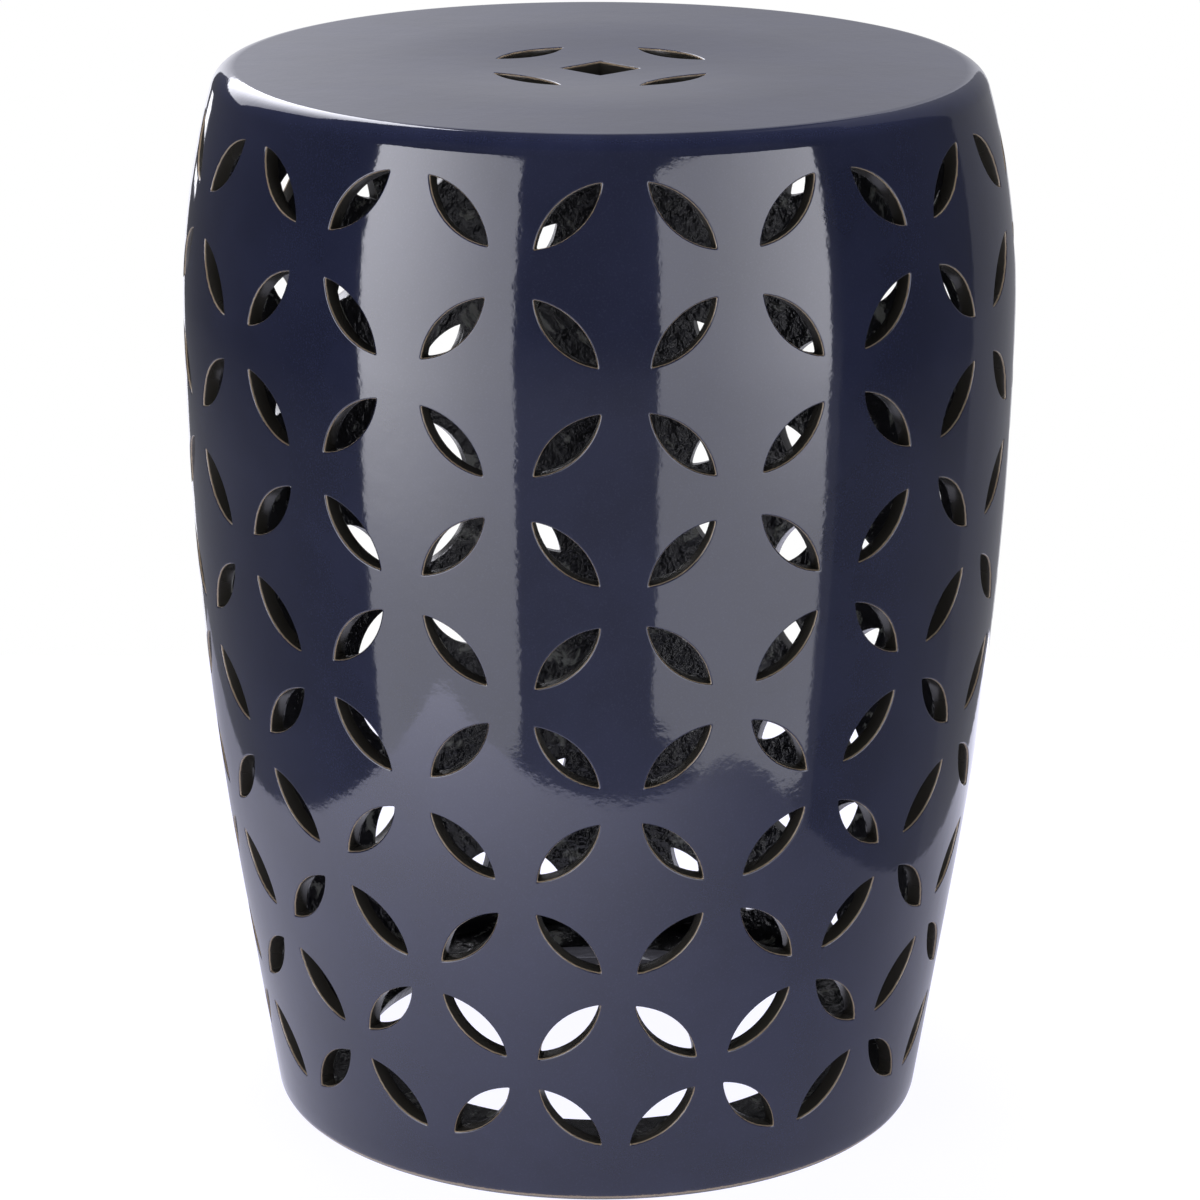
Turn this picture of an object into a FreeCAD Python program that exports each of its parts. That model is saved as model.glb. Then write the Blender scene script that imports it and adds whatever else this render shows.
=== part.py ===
"""Pierced ceramic garden stool, as a parametric document in millimetres.

The stool is a hollow barrel of clay with a slab seat laid over its mouth and a
ring-shaped ledge inside its foot. Coils of clay, pressed into the inner corners
before firing, hold the slab and the ledge to the wall. The wall is pierced with
lens-shaped openings that stand on their corners, the lattice of interlocking
circles, and the seat is pierced with a coin: a square and four lenses.

Origin: centre of the foot, on the floor. +Z up. -Y is the front.
"""
import FreeCAD
import Part
import Sketcher
import math
import os

from FreeCAD import Placement, Rotation, Vector

doc = FreeCAD.newDocument("garden_stool")

# Driving dimensions, in millimetres and degrees
SIZES = [
    ("stool_height", 457.0),          # floor to rim of the seat
    ("foot_radius", 141.3),           # where the flank would meet the floor
    ("belly_swell", 35.3),            # belly radius less foot radius
    ("shoulder_drop", 103.0),         # rim down to the widest level
    ("shoulder_radius", 340.0),       # profile radius from the belly to the rim
    ("flank_taper", 8.75),            # lean of the straight lower flank
    ("rim_round", 10.6),              # rounding where the shoulder meets the seat
    ("foot_round", 6.0),              # rounding at the floor
    ("wall", 7.0),                    # thickness of the barrel
    ("foot_face_width", 12.0),        # flat ring that stands on the floor
    ("shelf_height", 12.0),           # top of the thick foot ring
    ("ledge_thickness", 8.0),         # base ledge
    ("ledge_clearance", 0.5),         # edge of the ledge to the wall
    ("floor_opening_radius", 99.0),   # round opening in the ledge, at its top
    ("floor_opening_flare", 5.0),     # how much wider it is at its underside
    ("base_coil_leg", 6.0),           # clay coil on the ledge
    ("seat_coil_leg", 4.0),           # clay coil under the seat
    ("coil_clearance", 0.3),          # curved face of a coil to the wall
    ("seat_thickness", 12.0),         # slab seat at its rim
    ("dish_radius", 75.0),            # shallow hollow in the seat
    ("dish_depth", 2.4),
    ("coin_square", 23.2),            # side of the square in the seat
    ("coin_ring_radius", 42.5),       # centres of the four lenses in the seat
    ("coin_lens_length", 39.0),
    ("coin_lens_width", 11.5),
    ("petal_length", 37.0),           # lens opening in the wall, tip to tip
    ("petal_width", 12.5),
    ("lattice_foot_margin", 41.4),    # floor to the lowest row's centres
    ("lattice_rim_margin", 29.5),     # highest row's centres to the rim
    ("row_growth", 0.57),             # each row gap is larger than the one below
    ("lattice_turn", -4.15),          # first column, from the front
    ("petal_lean", 45.0),             # lean of each lens, left and right in turn
]
ROWS = 10
PAIRS = 12            # a left-leaning and a right-leaning column to each pair
COLUMN_STEP = 180.0 / PAIRS
CUT_LEAD = 4.0        # how far a cut starts outside the wall and ends inside it

sheet = doc.addObject("Spreadsheet::Sheet", "Sizes")
for number, (alias, value) in enumerate(SIZES, start=1):
    sheet.set("A%d" % number, alias)
    sheet.set("B%d" % number, str(value))
    sheet.setAlias("B%d" % number, alias)
doc.recompute()


def size(alias):
    """A driving dimension as a plain number."""
    return float(sheet.get(alias))


# Levels and radii that follow from the driving dimensions, as expressions
BELLY_RADIUS = "(Sizes.foot_radius + Sizes.belly_swell)"
BELLY_HEIGHT = "(Sizes.stool_height - Sizes.shoulder_drop)"
SEAT_JOINT = "(Sizes.stool_height - Sizes.seat_thickness)"
LEDGE_TOP = "(Sizes.shelf_height + Sizes.ledge_thickness)"


class Profile:
    """The barrel's outer line, as the radius and lean at a height."""

    def __init__(self):
        self.lean = math.radians(size("flank_taper"))
        self.belly_radius = size("foot_radius") + size("belly_swell")
        self.belly_height = size("stool_height") - size("shoulder_drop")
        rise = self.belly_height * math.sin(self.lean)
        run = size("belly_swell") * math.cos(self.lean)
        self.flank_radius = (rise - run) / (1.0 - math.cos(self.lean))
        self.flank_start = self.belly_height - self.flank_radius * math.sin(self.lean)
        self.flank_centre = self.belly_radius - self.flank_radius
        self.shoulder_centre = self.belly_radius - size("shoulder_radius")

    def radius(self, height, depth=0.0):
        """Radius at a height, on the skin or at a depth inside it."""
        drop = height - self.belly_height
        if height < self.flank_start:
            skin = size("foot_radius") + height * math.tan(self.lean)
            return skin - depth / math.cos(self.lean)
        if drop < 0:
            arc = self.flank_radius - depth
            return self.flank_centre + math.sqrt(arc ** 2 - drop ** 2)
        arc = size("shoulder_radius") - depth
        return self.shoulder_centre + math.sqrt(arc ** 2 - drop ** 2)

    def slope(self, height):
        """Lean of the skin from the vertical, outwards going up, in radians."""
        if height < self.flank_start:
            return self.lean
        drop = height - self.belly_height
        arc = self.flank_radius if drop < 0 else size("shoulder_radius")
        return -math.asin(drop / arc)


profile = Profile()


def new_body(label):
    """A body for one sub-part, named after its node."""
    body = doc.addObject("PartDesign::Body", label + "_body")
    body.Label = label
    return body


def origin_feature(body, role):
    """One of the body's own origin planes or axes."""
    return next(f for f in body.Origin.OriginFeatures if f.Role == role)


def new_sketch(body, name, role, offset=None):
    """A sketch on one of the body's own origin planes."""
    sketch = body.newObject("Sketcher::SketchObject", name)
    sketch.AttachmentSupport = [(origin_feature(body, role), "")]
    sketch.MapMode = "FlatFace"
    if offset is not None:
        sketch.AttachmentOffset = offset
    return sketch


def bind(sketch, constraint, name, expression):
    """Add a dimension to a sketch and tie it to the sheet."""
    index = sketch.addConstraint(constraint)
    sketch.renameConstraint(index, name)
    sketch.setExpression("Constraints." + name, expression)


def coincide(sketch, *joins):
    for first, first_end, second, second_end in joins:
        sketch.addConstraint(Sketcher.Constraint("Coincident", first, first_end, second, second_end))


def smooth(sketch, *joins):
    for first, first_end, second, second_end in joins:
        sketch.addConstraint(Sketcher.Constraint("Tangent", first, first_end, second, second_end))


START, END, CENTRE = 1, 2, 3      # points of a sketch line or arc
ROOT, AXIS_X, AXIS_Y = -1, -1, -2  # the sketch's own origin and axes


def point(x, y):
    return Vector(x, y, 0)


def line(a, b):
    return Part.LineSegment(point(*a), point(*b))


def arc(centre, radius, start, end):
    """Arc from one angle to another, anticlockwise, in radians."""
    circle = Part.Circle(point(*centre), Vector(0, 0, 1), radius)
    return Part.ArcOfCircle(circle, start, end)


def arc_through(start, end, radius):
    """Arc from start to end, anticlockwise, less than a half circle."""
    half = math.hypot(end[0] - start[0], end[1] - start[1]) / 2.0
    away = math.atan2(end[1] - start[1], end[0] - start[0])
    reach = math.sqrt(radius ** 2 - half ** 2)
    centre = ((start[0] + end[0]) / 2.0 - reach * math.sin(away),
              (start[1] + end[1]) / 2.0 + reach * math.cos(away))
    first = math.atan2(start[1] - centre[1], start[0] - centre[0])
    last = math.atan2(end[1] - centre[1], end[0] - centre[0])
    if last < first:
        last += 2.0 * math.pi
    return arc(centre, radius, first, last)


def revolve(body, sketch, angle=360.0):
    """Turn a sketch about the stool's axis, as far to one side as to the other."""
    turned = body.newObject("PartDesign::Revolution", sketch.Name + "_turned")
    turned.Profile = sketch
    turned.ReferenceAxis = (origin_feature(body, "Z_Axis"), [""])
    turned.Midplane = True
    turned.Angle = angle
    body.Tip = turned
    doc.recompute()
    return turned


# Barrel wall: turned shell with a thick foot ring
def wall_sketch(body):
    sketch = new_sketch(body, "wall_section", "XZ_Plane")
    lean, wall = profile.lean, size("wall")
    belly, widest = profile.belly_radius, profile.belly_height
    flank, shoulder = profile.flank_radius, size("shoulder_radius")
    joint = size("stool_height") - size("seat_thickness")
    shelf, foot = size("shelf_height"), size("foot_round")
    foot_centre = size("foot_radius") + foot * math.tan(lean) - foot / math.cos(lean)
    face_inside = foot_centre - size("foot_face_width")
    skin = (math.cos(lean), -math.sin(lean))
    foot_end = (foot_centre + foot * skin[0], foot + foot * skin[1])
    flank_end = (profile.flank_centre + flank * skin[0], widest + flank * skin[1])
    inner_end = (flank_end[0] - wall * skin[0], flank_end[1] - wall * skin[1])
    outer_joint = (profile.radius(joint), joint)
    inner_joint = (profile.radius(joint, wall), joint)
    shelf_outside = (profile.radius(shelf, wall), shelf)
    rise = math.asin((joint - widest) / shoulder)
    inner_rise = math.asin((joint - widest) / (shoulder - wall))
    flank_at, shoulder_at = (profile.flank_centre, widest), (profile.shoulder_centre, widest)
    pieces = [
        arc((foot_centre, foot), foot, -math.pi / 2, -lean),   # 0 rounding at the floor
        line(foot_end, flank_end),                             # 1 straight lower flank
        arc(flank_at, flank, -lean, 0.0),                      # 2 flank up to the belly
        arc(shoulder_at, shoulder, 0.0, rise),                 # 3 shoulder
        line(outer_joint, inner_joint),                        # 4 face under the seat
        arc(shoulder_at, shoulder - wall, 0.0, inner_rise),    # 5 shoulder, inside
        arc(flank_at, flank - wall, -lean, 0.0),               # 6 flank, inside
        line(inner_end, shelf_outside),                        # 7 lower flank, inside
        line(shelf_outside, (face_inside, shelf)),             # 8 shelf for the ledge
        line((face_inside, shelf), (face_inside, 0.0)),        # 9 foot ring, inside
        line((face_inside, 0.0), (foot_centre, 0.0)),          # 10 face on the floor
    ]
    sketch.addGeometry(pieces, False)
    guide = sketch.addGeometry(Part.Point(point(size("foot_radius"), 0.0)), True)
    smooth(sketch, (0, END, 1, START), (1, END, 2, START), (2, END, 3, START),
           (5, START, 6, END), (6, START, 7, START), (10, END, 0, START))
    coincide(sketch, (3, END, 4, START), (4, END, 5, END), (7, END, 8, START),
             (8, END, 9, START), (9, END, 10, START), (2, CENTRE, 6, CENTRE),
             (3, CENTRE, 5, CENTRE))
    for flat in (4, 8, 10):
        sketch.addConstraint(Sketcher.Constraint("Horizontal", flat))
    sketch.addConstraint(Sketcher.Constraint("Vertical", 9))
    sketch.addConstraint(Sketcher.Constraint("PointOnObject", 10, START, AXIS_X))
    sketch.addConstraint(Sketcher.Constraint("Horizontal", 2, CENTRE, 2, END))
    sketch.addConstraint(Sketcher.Constraint("Parallel", 1, 7))
    sketch.addConstraint(Sketcher.Constraint("PointOnObject", guide, START, AXIS_X))
    sketch.addConstraint(Sketcher.Constraint("PointOnObject", guide, START, 1))
    bind(sketch, Sketcher.Constraint("DistanceX", ROOT, START, guide, START, size("foot_radius")),
         "foot_radius", "Sizes.foot_radius")
    bind(sketch, Sketcher.Constraint("DistanceX", ROOT, START, 2, END, belly), "belly_radius", BELLY_RADIUS)
    bind(sketch, Sketcher.Constraint("DistanceY", ROOT, START, 2, END, widest), "belly_height", BELLY_HEIGHT)
    bind(sketch, Sketcher.Constraint("Radius", 3, shoulder), "shoulder_radius", "Sizes.shoulder_radius")
    bind(sketch, Sketcher.Constraint("Radius", 0, foot), "foot_round", "Sizes.foot_round")
    bind(sketch, Sketcher.Constraint("Angle", 1, math.pi / 2 - lean), "flank_angle",
         "(90 - Sizes.flank_taper) * 1 deg")
    bind(sketch, Sketcher.Constraint("DistanceX", 6, END, 2, END, wall), "wall", "Sizes.wall")
    bind(sketch, Sketcher.Constraint("DistanceY", ROOT, START, 3, END, joint), "seat_joint", SEAT_JOINT)
    bind(sketch, Sketcher.Constraint("DistanceY", ROOT, START, 8, START, shelf), "shelf_height",
         "Sizes.shelf_height")
    bind(sketch, Sketcher.Constraint("DistanceX", 9, END, 0, START, size("foot_face_width")),
         "foot_face_width", "Sizes.foot_face_width")
    return sketch


def lens(sketch, at, lean, length, width, tag):
    """Draw a lens, two equal arcs that meet in points, about a place in a sketch.

    length and width are aliases in the sheet, and lean is the angle of the
    long axis in degrees.
    """
    long, wide = size(length), size(width)
    radius = (long ** 2 + wide ** 2) / (4.0 * wide)
    turn = math.radians(lean)
    tip = (at[0] + long / 2.0 * math.cos(turn), at[1] + long / 2.0 * math.sin(turn))
    tail = (2.0 * at[0] - tip[0], 2.0 * at[1] - tip[1])
    near = sketch.addGeometry(arc_through(tail, tip, radius), False)
    far = sketch.addGeometry(arc_through(tip, tail, radius), False)
    axis = sketch.addGeometry(line(tail, tip), True)
    middle = sketch.addGeometry(Part.Point(point(*at)), True)
    coincide(sketch, (near, START, axis, START), (near, END, axis, END),
             (far, START, axis, END), (far, END, axis, START))
    sketch.addConstraint(Sketcher.Constraint("Symmetric", axis, START, axis, END, middle, START))
    sketch.addConstraint(Sketcher.Constraint("Equal", near, far))
    bind(sketch, Sketcher.Constraint("Distance", axis, long), tag + "_length", "Sizes." + length)
    shape = "(Sizes.{0} ^ 2 + Sizes.{1} ^ 2) / (4 * Sizes.{1})".format(length, width)
    bind(sketch, Sketcher.Constraint("Radius", near, radius), tag + "_arc", shape)
    return axis, middle


def cut(body, sketch, depth):
    """Pocket a sketch into the body, away from the side it faces."""
    pocket = body.newObject("PartDesign::Pocket", sketch.Name + "_cut")
    pocket.Profile = sketch
    pocket.Length = depth
    pocket.Refine = False
    body.Tip = pocket
    return pocket


def repeat_around(body, copies):
    """Repeat the body as it stands, evenly about the stool's axis."""
    pattern = body.newObject("PartDesign::PolarPattern", body.Label + "_around")
    pattern.TransformMode = "Whole shape"
    pattern.Axis = (origin_feature(body, "Z_Axis"), [""])
    pattern.Angle = 360.0
    pattern.Occurrences = copies
    pattern.Refine = True
    body.Tip = pattern
    doc.recompute()


def row_height(row):
    """Height of a row of petals, counted from the foot."""
    gaps = ROWS - 1
    span = size("stool_height") - size("lattice_rim_margin") - size("lattice_foot_margin")
    first = (span - size("row_growth") * gaps * (gaps - 1) / 2.0) / gaps
    return size("lattice_foot_margin") + first * row + size("row_growth") * row * (row - 1) / 2.0


def petal_place(row, turn):
    """Where a petal's sketch stands: square to the skin, just outside it.

    The sketch plane's x runs to the right and its y up, as seen from outside,
    so its own z points out of the wall.
    """
    height = row_height(row)
    around = Rotation(Vector(0, 1, 0), turn)
    tip_up = Rotation(Vector(1, 0, 0), math.degrees(profile.slope(height)))
    facing = around.multiply(tip_up)
    skin = around.multVec(Vector(0, 0, profile.radius(height))) + Vector(0, height, 0)
    return Placement(skin + facing.multVec(Vector(0, 0, CUT_LEAD)), facing)


def pierce_row(body, row):
    """Cut one pair of a row: lenses that lean to the right and to the left in turn."""
    for column in range(2):
        right = (row + column) % 2 == 1
        name = "petal_%d_%s" % (row + 1, "right" if right else "left")
        turn = (column - 0.5) * COLUMN_STEP
        sketch = new_sketch(body, name, "YZ_Plane", petal_place(row, turn))
        lean = size("petal_lean") if right else 180.0 - size("petal_lean")
        axis, middle = lens(sketch, (0.0, 0.0), lean, "petal_length", "petal_width", "petal")
        coincide(sketch, (middle, START, ROOT, START))
        angle = "Sizes.petal_lean" if right else "180 - Sizes.petal_lean"
        bind(sketch, Sketcher.Constraint("Angle", axis, math.radians(lean)), "petal_lean",
             "(%s) * 1 deg" % angle)
        pocket = cut(body, sketch, size("wall") + 2.0 * CUT_LEAD)
        pocket.setExpression("Length", "Sizes.wall + %s" % (2.0 * CUT_LEAD))


def make_barrel_wall():
    """The wall, as one pierced slice with a pair of columns, repeated about the axis."""
    body = new_body("barrel_wall")
    revolve(body, wall_sketch(body), 2.0 * COLUMN_STEP)
    for row in range(ROWS):
        pierce_row(body, row)
    repeat_around(body, PAIRS)
    front = Rotation(Vector(0, 0, 1), size("lattice_turn") + COLUMN_STEP / 2.0 - 90.0)
    body.Placement = Placement(Vector(0, 0, 0), front)
    return body


# Seat slab: laid over the barrel's mouth, its edge worked flush with the shoulder
def seat_sketch(body):
    sketch = new_sketch(body, "seat_section", "XZ_Plane")
    top, joint = size("stool_height"), size("stool_height") - size("seat_thickness")
    widest, shoulder = profile.belly_height, size("shoulder_radius")
    rim, dish, depth = size("rim_round"), size("dish_radius"), size("dish_depth")
    low = math.asin((joint - widest) / shoulder)
    high = math.asin((top - widest - rim) / (shoulder - rim))
    rim_centre = (profile.shoulder_centre + (shoulder - rim) * math.cos(high), top - rim)
    dish_arc = (dish ** 2 + depth ** 2) / (2.0 * depth)
    half = math.asin(dish / dish_arc)
    pieces = [
        arc((profile.shoulder_centre, widest), shoulder, low, high),   # 0 edge, on the shoulder line
        arc(rim_centre, rim, high, math.pi / 2),                       # 1 rounded rim
        line((rim_centre[0], top), (dish, top)),                       # 2 flat of the seat
        arc((0.0, top - depth + dish_arc), dish_arc, -math.pi / 2, half - math.pi / 2),  # 3 dish
        line((0.0, top - depth), (0.0, joint)),                        # 4 axis
        line((0.0, joint), (profile.radius(joint), joint)),            # 5 underside
    ]
    sketch.addGeometry(pieces, False)
    smooth(sketch, (0, END, 1, START), (1, END, 2, START))
    coincide(sketch, (2, END, 3, END), (3, START, 4, START), (4, END, 5, START), (5, END, 0, START))
    sketch.addConstraint(Sketcher.Constraint("Horizontal", 2))
    sketch.addConstraint(Sketcher.Constraint("Horizontal", 5))
    sketch.addConstraint(Sketcher.Constraint("PointOnObject", 3, CENTRE, AXIS_Y))
    sketch.addConstraint(Sketcher.Constraint("PointOnObject", 4, START, AXIS_Y))
    sketch.addConstraint(Sketcher.Constraint("PointOnObject", 4, END, AXIS_Y))
    bind(sketch, Sketcher.Constraint("DistanceX", 0, CENTRE, ROOT, START, -profile.shoulder_centre),
         "shoulder_centre", "Sizes.shoulder_radius - " + BELLY_RADIUS)
    bind(sketch, Sketcher.Constraint("DistanceY", ROOT, START, 0, CENTRE, widest), "belly_height",
         BELLY_HEIGHT)
    bind(sketch, Sketcher.Constraint("Radius", 0, shoulder), "shoulder_radius", "Sizes.shoulder_radius")
    bind(sketch, Sketcher.Constraint("Radius", 1, rim), "rim_round", "Sizes.rim_round")
    bind(sketch, Sketcher.Constraint("DistanceY", ROOT, START, 2, END, top), "stool_height",
         "Sizes.stool_height")
    bind(sketch, Sketcher.Constraint("DistanceX", ROOT, START, 2, END, dish), "dish_radius",
         "Sizes.dish_radius")
    bind(sketch, Sketcher.Constraint("DistanceY", 4, START, 2, END, depth), "dish_depth",
         "Sizes.dish_depth")
    bind(sketch, Sketcher.Constraint("DistanceY", ROOT, START, 5, START, joint), "seat_joint", SEAT_JOINT)
    return sketch


def coin_sketch(body):
    """The coin in the seat: a square on its corner, ringed by four lenses."""
    above = Placement(Vector(0, 0, size("stool_height") + CUT_LEAD), Rotation())
    sketch = new_sketch(body, "coin", "XY_Plane", above)
    sketch.setExpression("AttachmentOffset.Base.z", "Sizes.stool_height + %s" % CUT_LEAD)
    corner = size("coin_square") / math.sqrt(2.0)
    corners = [(corner, 0.0), (0.0, corner), (-corner, 0.0), (0.0, -corner)]
    for index in range(4):
        sketch.addGeometry(line(corners[index], corners[(index + 1) % 4]), False)
    coincide(sketch, (0, END, 1, START), (1, END, 2, START), (2, END, 3, START), (3, END, 0, START))
    for side, end, axis in ((0, START, AXIS_X), (1, START, AXIS_Y), (2, START, AXIS_X), (3, START, AXIS_Y)):
        sketch.addConstraint(Sketcher.Constraint("PointOnObject", side, end, axis))
    sketch.addConstraint(Sketcher.Constraint("Equal", 0, 1))
    sketch.addConstraint(Sketcher.Constraint("Equal", 1, 2))
    bind(sketch, Sketcher.Constraint("Distance", 0, size("coin_square")), "coin_square", "Sizes.coin_square")
    ring = size("coin_ring_radius")
    for index in range(4):
        quarter = 45.0 + 90.0 * index
        turn = math.radians(quarter)
        at = (ring * math.cos(turn), ring * math.sin(turn))
        tag = "lens_%d" % (index + 1)
        axis, middle = lens(sketch, at, quarter + 90.0, "coin_lens_length", "coin_lens_width", tag)
        across = "cos(%s) * Sizes.coin_ring_radius" % quarter
        along = "sin(%s) * Sizes.coin_ring_radius" % quarter
        bind(sketch, Sketcher.Constraint("DistanceX", ROOT, START, middle, START, at[0]), tag + "_x", across)
        bind(sketch, Sketcher.Constraint("DistanceY", ROOT, START, middle, START, at[1]), tag + "_y", along)
        sketch.addConstraint(Sketcher.Constraint("Angle", axis, math.radians(quarter + 90.0)))
    return sketch


def make_seat_slab():
    body = new_body("seat_slab")
    revolve(body, seat_sketch(body))
    pocket = cut(body, coin_sketch(body), size("seat_thickness") + 2.0 * CUT_LEAD)
    pocket.setExpression("Length", "Sizes.seat_thickness + %s" % (2.0 * CUT_LEAD))
    doc.recompute()
    return body


# Base ledge: ring that rests on the thick foot ring, round the floor opening
def make_base_ledge():
    body = new_body("base_ledge")
    sketch = new_sketch(body, "ledge_section", "XZ_Plane")
    low, high = size("shelf_height"), size("shelf_height") + size("ledge_thickness")
    edge = profile.radius(low, size("wall")) - size("ledge_clearance")
    opening = size("floor_opening_radius")
    corners = [(opening, high), (edge, high), (edge, low), (opening + size("floor_opening_flare"), low)]
    for index in range(4):
        sketch.addGeometry(line(corners[index], corners[(index + 1) % 4]), False)
    coincide(sketch, (0, END, 1, START), (1, END, 2, START), (2, END, 3, START), (3, END, 0, START))
    sketch.addConstraint(Sketcher.Constraint("Horizontal", 0))
    sketch.addConstraint(Sketcher.Constraint("Vertical", 1))
    sketch.addConstraint(Sketcher.Constraint("Horizontal", 2))
    bind(sketch, Sketcher.Constraint("DistanceX", ROOT, START, 0, START, opening), "opening",
         "Sizes.floor_opening_radius")
    bind(sketch, Sketcher.Constraint("DistanceX", 0, START, 2, END, size("floor_opening_flare")), "flare",
         "Sizes.floor_opening_flare")
    bind(sketch, Sketcher.Constraint("DistanceY", ROOT, START, 2, START, low), "shelf_height",
         "Sizes.shelf_height")
    bind(sketch, Sketcher.Constraint("DistanceY", 2, START, 0, END, high - low), "ledge_thickness",
         "Sizes.ledge_thickness")
    inside = ("Sizes.foot_radius + tan(Sizes.flank_taper) * Sizes.shelf_height"
              " - Sizes.wall / cos(Sizes.flank_taper) - Sizes.ledge_clearance")
    bind(sketch, Sketcher.Constraint("DistanceX", ROOT, START, 0, END, edge), "edge_radius", inside)
    revolve(body, sketch)
    return body


# Luting coils: clay pressed into the inner corners and wiped flat
def make_base_coil():
    body = new_body("base_luting_coil")
    sketch = new_sketch(body, "base_coil_section", "XZ_Plane")
    low, leg = size("shelf_height") + size("ledge_thickness"), size("base_coil_leg")
    corner = (profile.radius(low, size("wall") + size("coil_clearance")), low)
    upper = (corner[0] + leg * math.tan(profile.lean), low + leg)
    inner = (corner[0] - leg, low)
    sketch.addGeometry([line(inner, corner), line(corner, upper), line(upper, inner)], False)
    coincide(sketch, (0, END, 1, START), (1, END, 2, START), (2, END, 0, START))
    sketch.addConstraint(Sketcher.Constraint("Horizontal", 0))
    bind(sketch, Sketcher.Constraint("DistanceY", ROOT, START, 0, START, low), "ledge_top", LEDGE_TOP)
    inside = ("Sizes.foot_radius + tan(Sizes.flank_taper) * %s"
              " - (Sizes.wall + Sizes.coil_clearance) / cos(Sizes.flank_taper)") % LEDGE_TOP
    bind(sketch, Sketcher.Constraint("DistanceX", ROOT, START, 0, END, corner[0]), "corner", inside)
    bind(sketch, Sketcher.Constraint("Distance", 0, leg), "leg", "Sizes.base_coil_leg")
    bind(sketch, Sketcher.Constraint("DistanceY", 1, START, 1, END, leg), "rise", "Sizes.base_coil_leg")
    bind(sketch, Sketcher.Constraint("Angle", 1, math.pi / 2 - profile.lean), "lean",
         "(90 - Sizes.flank_taper) * 1 deg")
    revolve(body, sketch)
    return body


def make_seat_coil():
    body = new_body("seat_luting_coil")
    sketch = new_sketch(body, "seat_coil_section", "XZ_Plane")
    high, leg = size("stool_height") - size("seat_thickness"), size("seat_coil_leg")
    depth = size("wall") + size("coil_clearance")
    widest, inside = profile.belly_height, size("shoulder_radius") - depth
    corner = (profile.radius(high, depth), high)
    lower = (profile.radius(high - leg, depth), high - leg)
    inner = (corner[0] - leg, high)
    start, end = math.asin((lower[1] - widest) / inside), math.asin((high - widest) / inside)
    sketch.addGeometry([line(inner, corner), arc((profile.shoulder_centre, widest), inside, start, end),
                        line(lower, inner)], False)
    coincide(sketch, (0, END, 1, END), (1, START, 2, START), (2, END, 0, START))
    sketch.addConstraint(Sketcher.Constraint("Horizontal", 0))
    bind(sketch, Sketcher.Constraint("DistanceX", 1, CENTRE, ROOT, START, -profile.shoulder_centre),
         "shoulder_centre", "Sizes.shoulder_radius - " + BELLY_RADIUS)
    bind(sketch, Sketcher.Constraint("DistanceY", ROOT, START, 1, CENTRE, widest), "belly_height",
         BELLY_HEIGHT)
    bind(sketch, Sketcher.Constraint("Radius", 1, inside), "inside",
         "Sizes.shoulder_radius - Sizes.wall - Sizes.coil_clearance")
    bind(sketch, Sketcher.Constraint("DistanceY", ROOT, START, 0, START, high), "seat_joint", SEAT_JOINT)
    bind(sketch, Sketcher.Constraint("Distance", 0, leg), "leg", "Sizes.seat_coil_leg")
    bind(sketch, Sketcher.Constraint("DistanceY", 1, START, 1, END, leg), "drop", "Sizes.seat_coil_leg")
    revolve(body, sketch)
    return body


def check_and_write(bodies):
    """Write each sub-part, once nothing in the document has failed."""
    doc.recompute()
    for item in doc.Objects:
        if "Invalid" in item.State or "Error" in item.State:
            raise RuntimeError("%s did not build: %s" % (item.Name, item.State))
    for body in bodies:
        if body.Shape.isNull() or not body.Shape.isValid():
            raise RuntimeError("%s has no valid shape" % body.Label)
        if len(body.Shape.Solids) != 1:
            raise RuntimeError("%s is not one solid" % body.Label)
    os.makedirs("parts", exist_ok=True)
    for body in bodies:
        body.Shape.exportStep("parts/%s.step" % body.Label)
        box = body.Shape.BoundBox
        print("%s: %.1f cm3, x %.1f to %.1f, z %.1f to %.1f" % (
            body.Label, body.Shape.Volume / 1000.0, box.XMin, box.XMax, box.ZMin, box.ZMax))


check_and_write([
    make_barrel_wall(),
    make_seat_slab(),
    make_base_ledge(),
    make_base_coil(),
    make_seat_coil(),
])
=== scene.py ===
# %% [markdown]
# # A pierced ceramic garden stool
# The real stool is a hollow barrel of clay. Its wall is cut through with lens-shaped
# petals that stand on their tips, its seat is cut with a coin, and a deep navy glaze
# covers everything that shows. The solid model that is loaded here gives every size
# and place. This lesson builds the glazed surfaces around it, where the solid model
# has no rounded lips, no glaze and no light to shine in it.

import math
import random

import bmesh
import bpy
from mathutils import Matrix, Vector, noise


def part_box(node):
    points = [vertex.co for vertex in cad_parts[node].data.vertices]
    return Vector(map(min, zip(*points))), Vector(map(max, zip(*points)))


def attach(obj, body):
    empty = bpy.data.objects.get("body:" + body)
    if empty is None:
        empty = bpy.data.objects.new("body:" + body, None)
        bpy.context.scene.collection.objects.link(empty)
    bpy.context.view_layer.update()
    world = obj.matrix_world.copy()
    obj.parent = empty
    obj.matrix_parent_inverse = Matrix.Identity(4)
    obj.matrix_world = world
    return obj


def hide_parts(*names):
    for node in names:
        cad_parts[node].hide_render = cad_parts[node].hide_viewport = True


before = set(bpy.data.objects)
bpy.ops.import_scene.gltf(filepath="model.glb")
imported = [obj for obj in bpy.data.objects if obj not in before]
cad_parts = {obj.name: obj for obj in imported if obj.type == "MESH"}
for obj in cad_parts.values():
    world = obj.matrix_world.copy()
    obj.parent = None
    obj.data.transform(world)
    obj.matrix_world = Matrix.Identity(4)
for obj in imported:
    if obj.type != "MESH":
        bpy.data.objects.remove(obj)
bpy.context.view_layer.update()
print("nodes:", sorted(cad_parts))

# %% [markdown]
# ## Sizes
# Blender works in metres here. Heights that the solid model already has are read from
# its boxes. The rest are the maker's own measures: a barrel whose side is a straight
# taper at the foot, a long flank curve up to the belly and a tighter shoulder curve.

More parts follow.
